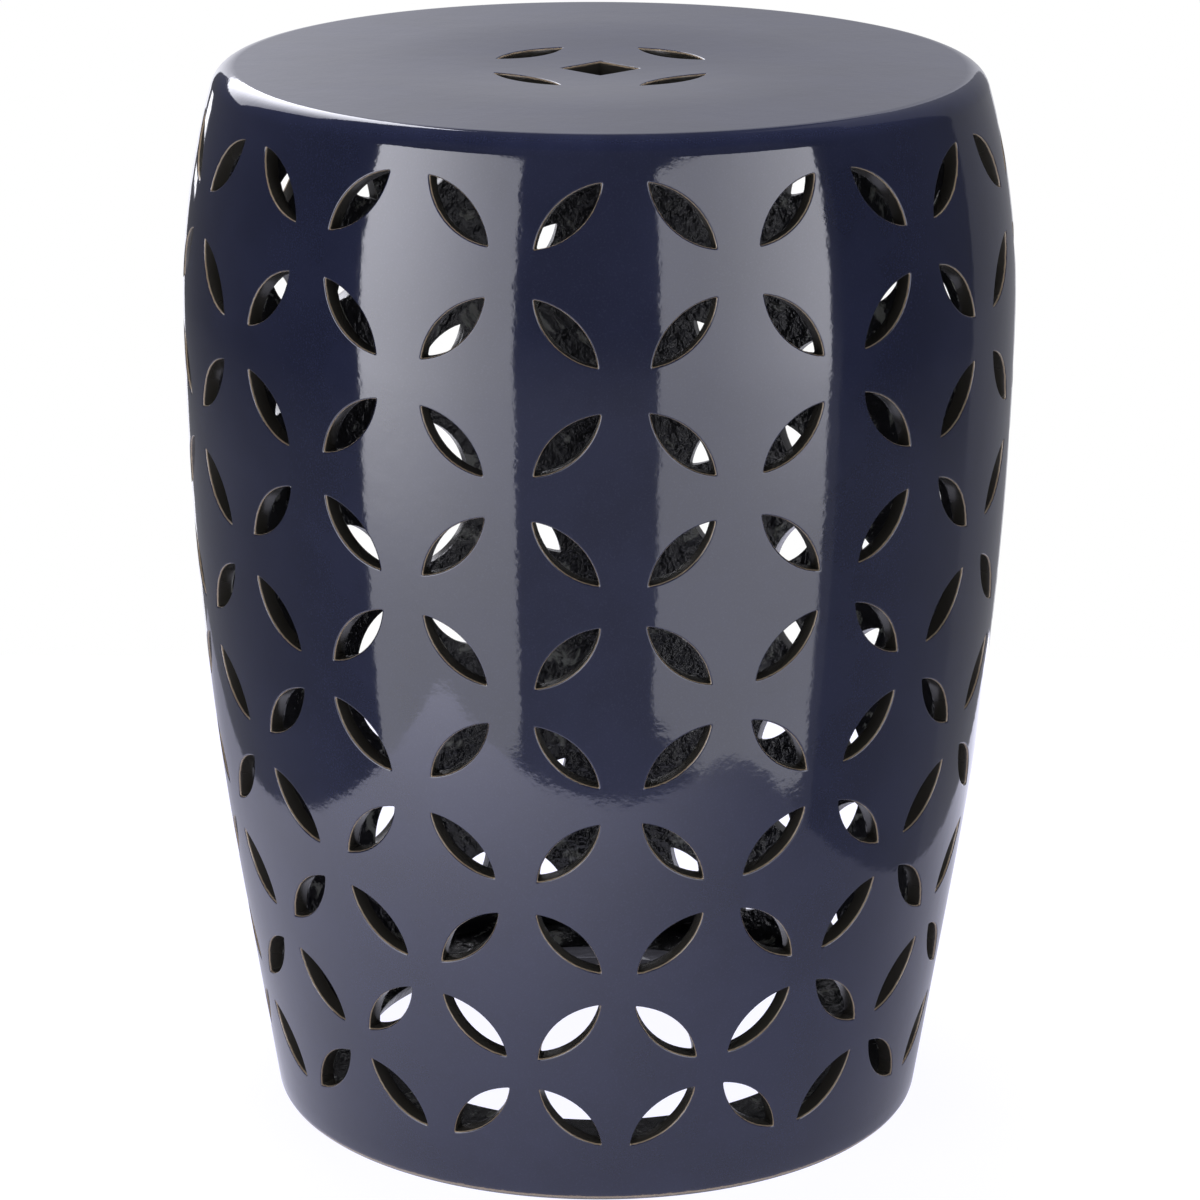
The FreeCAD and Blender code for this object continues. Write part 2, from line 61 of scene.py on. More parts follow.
# %% Sizes of the barrel
SEAT_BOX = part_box("seat_slab")
HEIGHT = SEAT_BOX[1].z
SEAT_JOINT = SEAT_BOX[0].z
FOOT_RADIUS = 0.1413
BELLY_RADIUS = 0.1766
BELLY_HEIGHT = 0.354
SHOULDER_CURVE = 0.340
TAPER = math.radians(8.75)
WALL = 0.007
FOOT_ROUND = 0.006
FOOT_FACE = 0.012
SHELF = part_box("base_ledge")[0].z
RIM_ROUND = 0.0106
rise = BELLY_HEIGHT * math.sin(TAPER)
run = (BELLY_RADIUS - FOOT_RADIUS) * math.cos(TAPER)
FLANK_CURVE = (rise - run) / (1.0 - math.cos(TAPER))
FLANK_START = BELLY_HEIGHT - FLANK_CURVE * math.sin(TAPER)
print(f"flank curve {FLANK_CURVE:.3f} m from {FLANK_START:.3f} m up to {BELLY_HEIGHT:.3f} m")


# %% The side of the barrel
def side_radius(height, depth=0.0):
    """Radius of the barrel at a height, on its skin or at a depth inside the skin."""
    above = height - BELLY_HEIGHT
    if height < FLANK_START:
        return FOOT_RADIUS + height * math.tan(TAPER) - depth / math.cos(TAPER)
    curve = FLANK_CURVE if above < 0.0 else SHOULDER_CURVE
    return BELLY_RADIUS - curve + math.sqrt((curve - depth) ** 2 - above ** 2)


def side_lean(height):
    """Lean of the skin from upright, outwards going up, in radians."""
    above = height - BELLY_HEIGHT
    if height < FLANK_START:
        return TAPER
    return -math.asin(above / (FLANK_CURVE if above < 0.0 else SHOULDER_CURVE))


def around(radius, turn, height):
    """A point at an angle from the front, counted to the right."""
    return Vector((radius * math.sin(turn), -radius * math.cos(turn), height))


print(f"radius at the seat joint {side_radius(SEAT_JOINT):.4f} m")

# %% [markdown]
# ## Working by hand, in code
# Every operator acts on what is selected, so each step opens one piece, selects what it
# needs by its place, and closes the piece again. These helpers say that once.


# %% Helpers for opening, selecting and closing
def put_down():
    """Leave edit mode and select nothing."""
    if bpy.context.mode != "OBJECT":
        bpy.ops.object.mode_set(mode="OBJECT")
    bpy.ops.object.select_all(action="DESELECT")


def pick_up(piece):
    """Make one piece the only selected and the active one."""
    put_down()
    piece.select_set(True)
    bpy.context.view_layer.objects.active = piece


def open_piece(piece, kind="VERT"):
    """Open a piece in edit mode with nothing in it selected."""
    pick_up(piece)
    bpy.ops.object.mode_set(mode="EDIT")
    bpy.ops.mesh.select_mode(type=kind)
    bpy.ops.mesh.select_all(action="DESELECT")


def choose(piece, test, kind="verts"):
    """Add to the selection what passes a test, and say how many there are."""
    mesh = bmesh.from_edit_mesh(piece.data)
    found = [item for item in getattr(mesh, kind) if test(item)]
    for item in found:
        item.select_set(True)
    mesh.select_flush(True)
    bmesh.update_edit_mesh(piece.data)
    return len(found)


def place_chosen(piece, move):
    """Put every selected vertex where move(place) says."""
    mesh = bmesh.from_edit_mesh(piece.data)
    for vertex in mesh.verts:
        if vertex.select:
            vertex.co = move(vertex.co)
    bmesh.update_edit_mesh(piece.data)


def apply_modifier(piece, kind, **settings):
    """Add a modifier, set it and apply it."""
    pick_up(piece)
    modifier = piece.modifiers.new(kind.title(), kind)
    for name, value in settings.items():
        setattr(modifier, name, value)
    bpy.ops.object.modifier_apply(modifier=modifier.name)


def join(pieces, name):
    """Join pieces into one with that name, and merge what they share."""
    put_down()
    for piece in pieces:
        piece.select_set(True)
    bpy.context.view_layer.objects.active = pieces[0]
    bpy.ops.object.join()
    joined = bpy.context.object
    joined.name = name
    open_piece(joined)
    bpy.ops.mesh.select_all(action="SELECT")
    bpy.ops.mesh.remove_doubles(threshold=MERGE)
    bpy.ops.mesh.normals_make_consistent(inside=False)
    put_down()
    return joined


MERGE = 0.00002
print("helpers are ready")

# %% [markdown]
# ## One petal
# On the real stool a petal is cut with a knife along two arcs that meet in points. The
# same two arcs are drawn here with Spin: a single vertex at one tip is swung about the
# centre of the first arc, and then back about the centre of the second.


# %% Draw a petal
def draw_petal(length, width, steps, tip_round):
    """A closed loop of edges in the shape of a lens, tips on the X axis."""
    curve = (length ** 2 + width ** 2) / (4.0 * width)
    reach = curve - width / 2.0
    sweep = 2.0 * math.asin(length / 2.0 / curve)
    put_down()
    bpy.ops.mesh.primitive_plane_add(size=width)
    petal = bpy.context.object
    open_piece(petal)
    bpy.ops.mesh.select_all(action="SELECT")
    bpy.ops.mesh.merge(type="CENTER")
    bpy.ops.transform.translate(value=(-length / 2.0, 0.0, 0.0))
    for centre in (-reach, reach):
        bpy.ops.mesh.spin(steps=steps, angle=sweep, center=(0.0, centre, 0.0), axis=(0.0, 0.0, 1.0))
    bpy.ops.mesh.select_all(action="SELECT")
    bpy.ops.mesh.remove_doubles(threshold=MERGE)
    bpy.ops.mesh.select_all(action="DESELECT")
    choose(petal, lambda v: abs(v.co.x) > length / 2.0 - MERGE)
    bpy.ops.mesh.bevel(offset=tip_round, segments=2, affect="VERTICES")
    return petal


PETAL_LENGTH, PETAL_WIDTH = 0.0370, 0.0125
PETAL_STEPS = 14
TIP_ROUND = 0.0007
sample = draw_petal(PETAL_LENGTH, PETAL_WIDTH, PETAL_STEPS, TIP_ROUND)
put_down()
print("corners of one petal:", len(sample.data.vertices))
bpy.data.objects.remove(sample)

# %% [markdown]
# ## One tile of the lattice
# The lattice is a grid of equal tiles, each with one petal on its diagonal. A tile is
# the petal and a square frame with as many corners, bridged with rings of faces. Rings
# that follow the petal keep the glaze smooth round the hole, which a hole cut by a
# Boolean would not.

# %% Model a tile
LEAN = math.radians(45.0)
SIDE_CUTS = 7
RINGS = 2


def model_tile(width, below, above):
    """A flat tile with a right-leaning petal at the origin, and the frame about it."""
    tile = draw_petal(PETAL_LENGTH, PETAL_WIDTH, PETAL_STEPS, TIP_ROUND)
    bpy.ops.mesh.select_all(action="SELECT")
    place_chosen(tile, lambda place: Matrix.Rotation(LEAN, 3, "Z") @ place)
    bpy.ops.mesh.select_all(action="DESELECT")
    bpy.ops.mesh.primitive_plane_add(size=1.0)
    bpy.ops.transform.resize(value=(width, below + above, 1.0), center_override=(0.0, 0.0, 0.0))
    bpy.ops.transform.translate(value=(0.0, (above - below) / 2.0, 0.0))
    bpy.ops.mesh.delete(type="ONLY_FACE")
    bpy.ops.mesh.select_all(action="DESELECT")
    choose(tile, lambda e: e.calc_length() > width / 2.0, "edges")
    bpy.ops.mesh.subdivide(number_cuts=SIDE_CUTS)
    bpy.ops.mesh.select_all(action="SELECT")
    bpy.ops.mesh.bridge_edge_loops(number_cuts=RINGS, interpolation="LINEAR")
    put_down()
    return tile


SAMPLE_WIDTH, SAMPLE_HALF = 0.046, 0.020
sample = model_tile(SAMPLE_WIDTH, SAMPLE_HALF, SAMPLE_HALF)
print("faces in one tile:", len(sample.data.polygons))
bpy.data.objects.remove(sample)

# %% [markdown]
# ## The pierced wall
# Ten rows of twenty-four tiles go round the barrel. Each row has a tile of its own,
# because the barrel is wider at the belly and the rows stand further apart towards the
# top. A tile is copied, turned over for every second column, and laid on the barrel.
# Nobody cuts 240 petals exactly alike, so each copy is a hair off its place.

# %% Rows and columns
ROWS, COLUMNS = 10, 24
FOOT_MARGIN, RIM_MARGIN = 0.0414, 0.0295
ROW_GROWTH = 0.00057
FIRST_COLUMN = math.radians(-4.15)
gaps = ROWS - 1
first_gap = (HEIGHT - RIM_MARGIN - FOOT_MARGIN - ROW_GROWTH * gaps * (gaps - 1) / 2.0) / gaps
ROW_HEIGHTS = [
    FOOT_MARGIN + first_gap * row + ROW_GROWTH * row * (row - 1) / 2.0 for row in range(ROWS)
]
EDGES = [SHELF]
for low, high in zip(ROW_HEIGHTS, ROW_HEIGHTS[1:]):
    EDGES.append((low + high) / 2.0)
EDGES.append(SEAT_JOINT)
print("rows at", [round(height, 4) for height in ROW_HEIGHTS])

# %% Lay the tiles on the barrel
HAND_SHIFT = 0.0004
HAND_TURN = math.radians(1.0)
HAND_STRETCH = 0.015
FRAME_HOLD = 0.003
hand = random.Random(12)


def hand_cut(place, slip, turn, stretch, distance):
    """Where a knife that is a little off would leave a point, kept still near the frame."""
    off = Matrix.Rotation(turn, 2) @ Vector((place[0] * stretch, place[1] * stretch)) + slip
    hold = min(1.0, max(0.0, distance / FRAME_HOLD))
    return place[0] + (off.x - place[0]) * hold, place[1] + (off.y - place[1]) * hold


def row_reach(row):
    """How far a row's tiles reach down and up along the skin from their middles."""
    height, slope = ROW_HEIGHTS[row], math.cos(side_lean(ROW_HEIGHTS[row]))
    return (height - EDGES[row]) / slope, (EDGES[row + 1] - height) / slope


def lay_tile(model, row, column):
    """A copy of a row's tile, bent onto the barrel at its column."""
    tile = bpy.data.objects.new("tile", model.data.copy())
    bpy.context.scene.collection.objects.link(tile)
    height, lean = ROW_HEIGHTS[row], side_lean(ROW_HEIGHTS[row])
    radius = side_radius(height)
    half = math.pi * radius / COLUMNS
    below, above = row_reach(row)
    side = 1.0 if (row + column) % 2 else -1.0
    slip = Vector((hand.uniform(-HAND_SHIFT, HAND_SHIFT), hand.uniform(-HAND_SHIFT, HAND_SHIFT)))
    turn = hand.uniform(-HAND_TURN, HAND_TURN)
    stretch = 1.0 + hand.uniform(-HAND_STRETCH, HAND_STRETCH)
    for vertex in tile.data.vertices:
        across, up = vertex.co.x, vertex.co.y
        distance = min(half - abs(across), above - up, up + below)
        across, up = hand_cut((across, up), slip, turn, stretch, distance)
        level = height + up * math.cos(lean)
        turned = FIRST_COLUMN + column * math.tau / COLUMNS + side * across / radius
        vertex.co = around(side_radius(level), turned, level)
    return tile


tiles = []
for row in range(ROWS):
    model = model_tile(math.tau * side_radius(ROW_HEIGHTS[row]) / COLUMNS, *row_reach(row))
    for column in range(COLUMNS):
        tiles.append(lay_tile(model, row, column))
    bpy.data.objects.remove(model)
wall = join(tiles, "pierced_wall")
print("outer skin:", len(wall.data.vertices), "vertices,", len(wall.data.polygons), "faces")

# %% [markdown]
# The skin becomes a wall by extruding it whole and moving the new side inwards along
# the barrel's own curve. The top edge stays level, because the seat lies on it. The
# foot is then drawn out from the lower edge, ring by ring: round the foot, across the
# face that stands on the floor, up its inside and out along the shelf.


# %% Give the wall its thickness
def inwards(place):
    """The point on the inner face of the wall behind a point of the skin."""
    turn = math.atan2(place.x, -place.y)
    lean = side_lean(place.z)
    free = min(1.0, (SEAT_JOINT - place.z) / LEVEL_BAND, (place.z - SHELF) / LEVEL_BAND)
    level = place.z + WALL * math.sin(lean) * max(0.0, free)
    return around(side_radius(level, WALL), turn, level)


LEVEL_BAND = 0.004
open_piece(wall, "FACE")
bpy.ops.mesh.select_all(action="SELECT")
bpy.ops.mesh.extrude_region()
place_chosen(wall, inwards)
put_down()
print("wall:", len(wall.data.polygons), "faces")


# %% Draw out the foot
def draw_out(piece, stations):
    """Extrude the selected ring of edges through each (radius, height) in turn."""
    for radius, height in stations:
        bpy.ops.mesh.extrude_region()
        place_chosen(piece, lambda place: around(radius, math.atan2(place.x, -place.y), height))


def arc_stations(centre, radius, start, end, steps):
    """Points of an arc in the section, after its first one, as (radius, height)."""
    found = []
    for step in range(1, steps + 1):
        angle = start + (end - start) * step / steps
        found.append((centre[0] + radius * math.cos(angle), centre[1] + radius * math.sin(angle)))
    return found


FOOT_STEPS = 5
FOOT_CHAMFER = 0.001
foot_centre = FOOT_RADIUS + FOOT_ROUND * math.tan(TAPER) - FOOT_ROUND / math.cos(TAPER)
foot_start = (foot_centre + FOOT_ROUND * math.cos(TAPER), FOOT_ROUND - FOOT_ROUND * math.sin(TAPER))
face_inside = foot_centre - FOOT_FACE
foot_line = [foot_start]
foot_line += arc_stations((foot_centre, FOOT_ROUND), FOOT_ROUND, -TAPER, -math.pi / 2.0, FOOT_STEPS)
foot_line += [(face_inside + FOOT_CHAMFER, 0.0), (face_inside, FOOT_CHAMFER), (face_inside, SHELF)]
foot_line += [(side_radius(SHELF, WALL), SHELF)]

open_piece(wall, "FACE")
level_faces = choose(wall, lambda f: all(abs(v.co.z - SHELF) < MERGE for v in f.verts), "faces")
bpy.ops.mesh.delete(type="FACE")
bpy.ops.mesh.select_mode(type="EDGE")
bpy.ops.mesh.select_all(action="DESELECT")


def on_lower_edge(vertex):
    """On the skin, where it ends at the level of the shelf."""
    return abs(vertex.co.z - SHELF) < MERGE and vertex.co.xy.length > side_radius(SHELF) - MERGE


ring = choose(wall, lambda e: all(on_lower_edge(v) for v in e.verts), "edges")
draw_out(wall, foot_line)
bpy.ops.mesh.select_all(action="SELECT")
bpy.ops.mesh.remove_doubles(threshold=MERGE)
bpy.ops.mesh.normals_make_consistent(inside=False)
put_down()
print("ring of", ring, "edges drawn out from", level_faces, "faces")

# %% [markdown]
# ## Rounded lips
# Glaze pulls back from a sharp edge and leaves a soft lip. A Bevel modifier rounds only
# the edges that carry a bevel weight, so the weight goes on the petals' outer edges.


# %% Round the lips of the petals
def sharp_edges(piece, least):
    """The edges where two faces meet at more than an angle, as pairs of corners."""
    mesh = bmesh.new()
    mesh.from_mesh(piece.data)
    found = {
        tuple(sorted(v.index for v in e.verts))
        for e in mesh.edges
        if len(e.link_faces) == 2 and e.calc_face_angle() > least
    }
    mesh.free()
    return found


def round_lips(piece, on_lip, segments):
    """Round the sharp edges whose two ends both lie on a lip, and count them."""
    corners = sharp_edges(piece, SHARP)
    weights = piece.data.attributes.new("bevel_weight_edge", "FLOAT", "EDGE")
    count = 0
    for edge in piece.data.edges:
        ends = [piece.data.vertices[index].co for index in edge.vertices]
        if tuple(sorted(edge.vertices)) in corners and all(on_lip(end) for end in ends):
            weights.data[edge.index].value = 1.0
            count += 1
    limits = {"limit_method": "WEIGHT", "use_clamp_overlap": False}
    apply_modifier(piece, "BEVEL", width=LIP, segments=segments, **limits)
    return count


def wall_depth(place):
    """How far a point lies inside the barrel's skin."""
    return (side_radius(min(place.z, SEAT_JOINT)) - place.xy.length) * math.cos(side_lean(place.z))


def on_wall_lip(place):
    """On the skin, and neither on its top nor on its lower edge."""
    return wall_depth(place) < MERGE and SHELF + MERGE < place.z < SEAT_JOINT - MERGE


LIP = 0.0008
SHARP = math.radians(60.0)
lip_edges = round_lips(wall, on_wall_lip, 2)
print("rounded", lip_edges, "edges, wall now", len(wall.data.polygons), "faces")

# %% [markdown]
# ## The seat
# The slab seat is made in the same way. A quarter of its dish is one tile: a petal in
# the middle, a quarter of the coin's square on the inside, and a quarter circle on the
# outside. Four of them are joined, and the flat, the rounded rim and the edge are drawn
# out from the dish.

# %% Sizes of the seat
DISH_RADIUS, DISH_DEPTH = 0.075, 0.0024
DISH_END = 0.105
COIN_SIDE = 0.0232
COIN_CORNER = COIN_SIDE / math.sqrt(2.0)
COIN_RING = 0.0425
COIN_PETAL = (0.0390, 0.0115)
COIN_STEPS = 46
DISH_STEPS, SPOKE_STEPS = 48, 16


def dish_height(radius):
    """Height of the seat at a radius, from the middle of the dish to the flat."""
    share = min(radius / DISH_END, 1.0)
    return HEIGHT - DISH_DEPTH * (1.0 + math.cos(math.pi * share)) / 2.0


def dish_slope(radius):
    """How steeply the seat rises outwards at a radius."""
    share = min(radius / DISH_END, 1.0)
    return DISH_DEPTH * math.pi / (2.0 * DISH_END) * math.sin(math.pi * share)


print(f"steepest slope of the dish {math.degrees(math.atan(dish_slope(DISH_END / 2.0))):.1f} degrees")

# %% Model a quarter of the dish
DIAGONAL = math.radians(45.0)
quarter = draw_petal(*COIN_PETAL, COIN_STEPS, TIP_ROUND)
bpy.ops.mesh.select_all(action="SELECT")
place_chosen(
    quarter,
    lambda place: Matrix.Rotation(DIAGONAL + math.pi / 2.0, 3, "Z") @ place
    + Vector((COIN_RING * math.cos(DIAGONAL), COIN_RING * math.sin(DIAGONAL), 0.0)),
)
bpy.ops.mesh.select_all(action="DESELECT")
bpy.ops.mesh.primitive_plane_add(size=1.0)
FRAME_CORNERS = {
    (-1, -1): (COIN_CORNER, 0.0),
    (1, -1): (DISH_RADIUS, 0.0),
    (1, 1): (0.0, DISH_RADIUS),
    (-1, 1): (0.0, COIN_CORNER),
}


def onto_frame(place):
    """Move a corner of the new plane to its corner of the frame."""
    return Vector((*FRAME_CORNERS[(round(2 * place.x), round(2 * place.y))], 0.0))


place_chosen(quarter, onto_frame)
bpy.ops.mesh.delete(type="ONLY_FACE")
bpy.ops.mesh.select_mode(type="EDGE")
bpy.ops.mesh.select_all(action="DESELECT")
choose(quarter, lambda e: e.calc_length() > DISH_RADIUS, "edges")
bpy.ops.mesh.subdivide(number_cuts=DISH_STEPS - 1)


def onto_circle(place):
    """Bend the long side of the frame onto the edge of the dish, in even steps."""
    share = place.y / DISH_RADIUS
    turn = share * math.pi / 2.0
    return Vector((DISH_RADIUS * math.cos(turn), DISH_RADIUS * math.sin(turn), 0.0))


place_chosen(quarter, onto_circle)
bpy.ops.mesh.select_all(action="DESELECT")
choose(quarter, lambda e: e.calc_length() > COIN_CORNER, "edges")
bpy.ops.mesh.subdivide(number_cuts=SPOKE_STEPS - 1)
bpy.ops.mesh.select_all(action="SELECT")
bpy.ops.mesh.bridge_edge_loops(number_cuts=RINGS + 1, interpolation="LINEAR")
put_down()
print("quarter of the dish:", len(quarter.data.polygons), "faces")

# %% Join the quarters and draw out the rim
QUARTERS = 4
dish = []
for index in range(QUARTERS):
    copy = bpy.data.objects.new("dish", quarter.data.copy())
    bpy.context.scene.collection.objects.link(copy)
    copy.data.transform(Matrix.Rotation(math.tau / QUARTERS * index, 4, "Z"))
    for vertex in copy.data.vertices:
        vertex.co.z = dish_height(vertex.co.xy.length)
    dish.append(copy)
bpy.data.objects.remove(quarter)
seat = join(dish, "coin_seat")

shoulder_centre = BELLY_RADIUS - SHOULDER_CURVE
rim_angle = math.asin((HEIGHT - BELLY_HEIGHT - RIM_ROUND) / (SHOULDER_CURVE - RIM_ROUND))
joint_angle = math.asin((SEAT_JOINT - BELLY_HEIGHT) / SHOULDER_CURVE)
rim_centre = (shoulder_centre + (SHOULDER_CURVE - RIM_ROUND) * math.cos(rim_angle), HEIGHT - RIM_ROUND)
RIM_STEPS, EDGE_STEPS = 8, 3
SEAT_RINGS = (0.080, 0.086, 0.093, 0.105, 0.130, rim_centre[0])
rim_line = [(radius, dish_height(radius)) for radius in SEAT_RINGS]
rim_line += arc_stations(rim_centre, RIM_ROUND, math.pi / 2.0, rim_angle, RIM_STEPS)
belly_centre = (shoulder_centre, BELLY_HEIGHT)
rim_line += arc_stations(belly_centre, SHOULDER_CURVE, rim_angle, joint_angle, EDGE_STEPS)
open_piece(seat, "EDGE")
ring = choose(seat, lambda e: all(v.co.xy.length > DISH_RADIUS - MERGE for v in e.verts), "edges")
draw_out(seat, rim_line)
put_down()
print("rim drawn out from a ring of", ring, "edges")

# %% Give the seat its thickness
open_piece(seat, "FACE")
bpy.ops.mesh.select_all(action="SELECT")
bpy.ops.mesh.extrude_region()
place_chosen(seat, lambda place: Vector((place.x, place.y, SEAT_JOINT)))
bpy.ops.mesh.select_all(action="SELECT")
bpy.ops.mesh.remove_doubles(threshold=MERGE)
bpy.ops.mesh.normals_make_consistent(inside=False)
put_down()


def seat_depth(place):
    """How far a point lies below the glazed top of the seat, or 0 on its edge."""
    radius = place.xy.length
    if radius < rim_centre[0] + MERGE:
        return dish_height(radius) - place.z
    underside = place.z < SEAT_JOINT + MERGE and radius < side_radius(SEAT_JOINT) - MERGE
    return HEIGHT - SEAT_JOINT if underside else 0.0


def on_coin_lip(place):
    """On the glazed top of the seat, within the dish."""
    return place.xy.length < DISH_RADIUS and seat_depth(place) < MERGE


lip_edges = round_lips(seat, on_coin_lip, 3)
print("seat:", lip_edges, "lip edges,", len(seat.data.polygons), "faces")

# %% [markdown]
# ## Ledge and coils
# Inside the foot lies a ring-shaped ledge, and a coil of clay is pressed into each inner
# corner. They are turned shapes, so each is a circle that is drawn out through the
# corners of its section. Thumb marks run round the coils.


# %% Turn a ring from its section
TURNS = 192


def turn_ring(name, section):
    """A closed ring through the corners of a section, as (radius, height)."""
    put_down()
    radius, height = section[0]
    bpy.ops.mesh.primitive_circle_add(vertices=TURNS, radius=radius, location=(0.0, 0.0, height))
    bpy.ops.object.transform_apply(location=True)
    piece = bpy.context.object
    piece.name = name
    open_piece(piece, "EDGE")
    bpy.ops.mesh.select_all(action="SELECT")
    draw_out(piece, section[1:] + section[:1])
    bpy.ops.mesh.select_all(action="SELECT")
    bpy.ops.mesh.remove_doubles(threshold=MERGE)
    bpy.ops.mesh.normals_make_consistent(inside=False)
    put_down()
    return piece


LEDGE_THICKNESS = 0.008
LEDGE_TOP = SHELF + LEDGE_THICKNESS
OPENING, OPENING_FLARE = 0.099, 0.005
LEDGE_CLEARANCE = 0.0005
ledge_edge = side_radius(SHELF, WALL) - LEDGE_CLEARANCE
ledge_section = [
    (OPENING, LEDGE_TOP),
    ((OPENING + ledge_edge) / 2.0, LEDGE_TOP),
    (ledge_edge, LEDGE_TOP),
    (ledge_edge, SHELF),
    (OPENING + OPENING_FLARE, SHELF),
]
LEDGE_ROUND = {"width": 0.0012, "segments": 2}
LEDGE_ROUND |= {"limit_method": "ANGLE", "angle_limit": math.radians(40.0)}
ledge = turn_ring("ledge_ring", ledge_section)
apply_modifier(ledge, "BEVEL", **LEDGE_ROUND)
print("ledge:", len(ledge.data.polygons), "faces")

# %% Press the coils
THUMB_MARKS = 52
THUMB_DEPTH = 0.0006
THUMB_GRAIN = 90.0
HOLLOW = 2.0
HOLLOW_STEPS = 6


def press_coil(name, corner, along, away, leg):
    """A fillet of clay in a corner, with a hollow face and thumb marks."""
    first = Vector(corner) + Vector(along) * leg
    last = Vector(corner) + Vector(away)
    chord = last - first
    sag = HOLLOW * leg - math.sqrt((HOLLOW * leg) ** 2 - chord.length_squared / 4.0)
    inside = (Vector(corner) - (first + last) / 2.0).normalized()
    section = [tuple(first), tuple(corner), tuple(last)]
    for step in range(1, HOLLOW_STEPS):
        share = 1.0 - step / HOLLOW_STEPS
        section.append(tuple(first + chord * share + inside * sag * 4.0 * share * (1.0 - share)))
    coil = turn_ring(name, section)
    reach = chord.length
    for vertex in coil.data.vertices:
        turn = math.atan2(vertex.co.x, -vertex.co.y)
        here = Vector((vertex.co.xy.length, vertex.co.z))
        if (here - Vector(corner)).length < MERGE:
            continue
        free = 1.0 - abs((here - first).dot(chord) / reach ** 2 * 2.0 - 1.0)
        mark = math.sin(THUMB_MARKS * turn) + noise.noise(vertex.co * THUMB_GRAIN)
        moved = here + inside * THUMB_DEPTH * max(0.0, free) * mark
        vertex.co = around(moved.x, turn, moved.y)
    return coil


COIL_CLEARANCE = 0.0003
BASE_LEG, SEAT_LEG = 0.006, 0.004
base_corner = (side_radius(LEDGE_TOP, WALL + COIL_CLEARANCE), LEDGE_TOP)
base_rise = (BASE_LEG * math.tan(TAPER), BASE_LEG)
base_coil = press_coil("ledge_coil", base_corner, (-1.0, 0.0), base_rise, BASE_LEG)
seat_corner = (side_radius(SEAT_JOINT, WALL + COIL_CLEARANCE), SEAT_JOINT)
seat_drop = side_radius(SEAT_JOINT - SEAT_LEG, WALL + COIL_CLEARANCE) - seat_corner[0]
seat_coil = press_coil("seat_coil", seat_corner, (-1.0, 0.0), (seat_drop, -SEAT_LEG), SEAT_LEG)
print("coils:", len(base_coil.data.polygons), "and", len(seat_coil.data.polygons), "faces")

# %% [markdown]
# ## True curves for the light
# Gloss shows every small error in how a surface faces. The skin's true direction is
# known from the barrel's curve, so it is written into the mesh. The depth below the
# skin is written too: the finish reads it to tell glaze, lip, cut clay and inside apart.


# %% Write directions and depths into the meshes
def skin_direction(place):
    """Which way the barrel's skin faces at a point."""
    lean = side_lean(place.z)
    turn = math.atan2(place.x, -place.y)
    return around(math.cos(lean), turn, -math.sin(lean))


def seat_direction(place):
    """Which way the seat's glazed face points, from the dish to the edge."""
    radius, turn = place.xy.length, math.atan2(place.x, -place.y)
    if radius < rim_centre[0] + MERGE:
        return around(-dish_slope(radius), turn, 1.0).normalized()
    rise = math.atan2(place.z - rim_centre[1], radius - rim_centre[0])
    if rise < rim_angle:
        return skin_direction(place)
    return around(math.cos(rise), turn, math.sin(rise))


def smooth(piece):
    """Smooth a piece, but for its sharp edges."""
    pick_up(piece)
    bpy.ops.object.shade_smooth_by_angle(angle=SMOOTH_UP_TO)


def write_surface(piece, depth_of, direction_of, on_skin):
    """Smooth a piece, store its depth in millimetres, and face its skin the true way."""
    smooth(piece)
    mesh = piece.data
    depths = mesh.attributes.new("depth", "FLOAT", "POINT")
    for vertex in mesh.vertices:
        depths.data[vertex.index].value = max(0.0, depth_of(vertex.co)) * 1000.0
    directions = [Vector(corner.vector) for corner in mesh.corner_normals]
    for face in mesh.polygons:
        for corner in face.loop_indices:
            place = mesh.vertices[mesh.loops[corner].vertex_index].co
            if on_skin(place):
                true = direction_of(place)
                if true.dot(face.normal) > FACES_OUT:
                    directions[corner] = true
    mesh.normals_split_custom_set(directions)


SMOOTH_UP_TO = math.radians(50.0)
FACES_OUT = 0.4
SKIN = 0.00005
write_surface(
    wall, wall_depth, skin_direction, lambda p: p.z > SHELF - MERGE and wall_depth(p) < SKIN
)
write_surface(seat, seat_depth, seat_direction, lambda p: seat_depth(p) < SKIN)
for piece in (ledge, base_coil, seat_coil):
    smooth(piece)
print("wall triangles:", sum(len(face.vertices) - 2 for face in wall.data.polygons))

# %% [markdown]
# ## Shader maths in plain Python
# A finish is a graph of nodes. Wrapping a socket in a small class lets an expression
# such as `1 - mask` add its Math node by itself, and one method adds every other node.


# %% A wire and a finish
class Wire:
    """A number that flows between nodes, with the usual operators."""

    def __init__(self, finish, socket):
        self.finish, self.socket = finish, socket

    def maths(self, operation, first, second):
        """The wire that leaves a new Math node."""
        return self.finish.add("ShaderNodeMath", {"operation": operation}, {0: first, 1: second})

    def __add__(self, other):
        return self.maths("ADD", self, other)

    def __sub__(self, other):
        return self.maths("SUBTRACT", self, other)

    def __rsub__(self, other):
        return self.maths("SUBTRACT", other, self)

    def __mul__(self, other):
        return self.maths("MULTIPLY", self, other)

    __radd__, __rmul__ = __add__, __mul__

    def over(self, low, high):
        """0 below low, 1 above high, and a soft step between."""
        return self.finish.add(
            "ShaderNodeMapRange",
            {"interpolation_type": "SMOOTHSTEP"},
            {"Value": self, "From Min": low, "From Max": high},
        )


